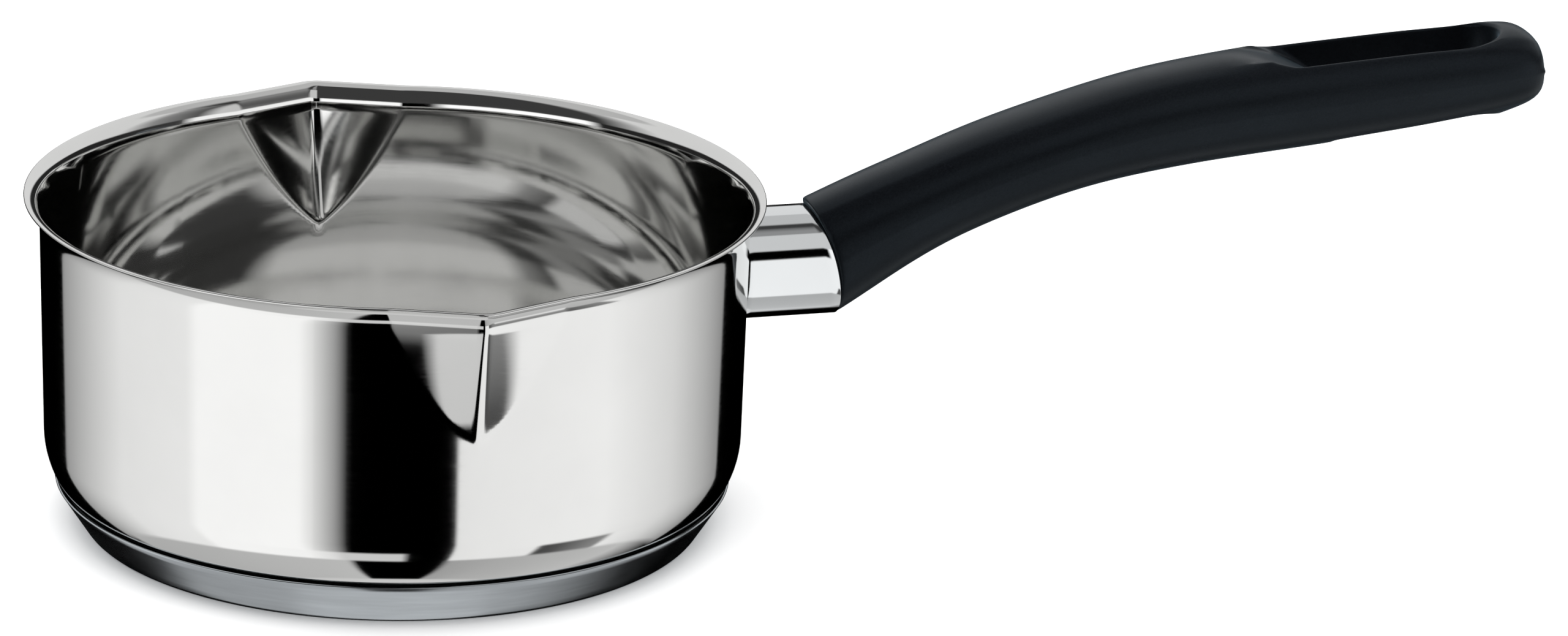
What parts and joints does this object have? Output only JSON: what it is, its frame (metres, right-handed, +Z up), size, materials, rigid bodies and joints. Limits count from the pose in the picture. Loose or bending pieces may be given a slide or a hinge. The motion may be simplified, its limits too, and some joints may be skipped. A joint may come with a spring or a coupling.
{
  "type": "two-lipped saucepan",
  "caption": "Small straight-sided steel pan with a flared rim, two opposed pouring lips, a sandwich base and a long dark moulded handle with a hanging slot.",
  "frame": {"origin": "centre of the flat underside of the base", "axes": "+Z up, +X out along the handle, the pouring lips at +Y and -Y"},
  "size_m": [0.3605, 0.1786, 0.1025],
  "materials": {
    "polished_steel": "mirror polished outside, fine circumferential brushing inside",
    "base_steel": "satin",
    "aluminium_core": "as pressed",
    "bracket_steel": "as stamped",
    "fastener_steel": "zinc bright",
    "ferrule_steel": "polished",
    "phenolic": "fine matt moulding grain"
  },
  "bodies": {
    "root": {"pan_shell": "polished_steel", "base_core": "aluminium_core", "base_cap": "base_steel", "handle_bracket": "bracket_steel", "bracket_nut": "fastener_steel", "ferrule": "ferrule_steel", "handle": "phenolic", "handle_screw": "fastener_steel", "lock_washer": "fastener_steel", "flat_washer": "fastener_steel"}
  },
  "joints": []
}
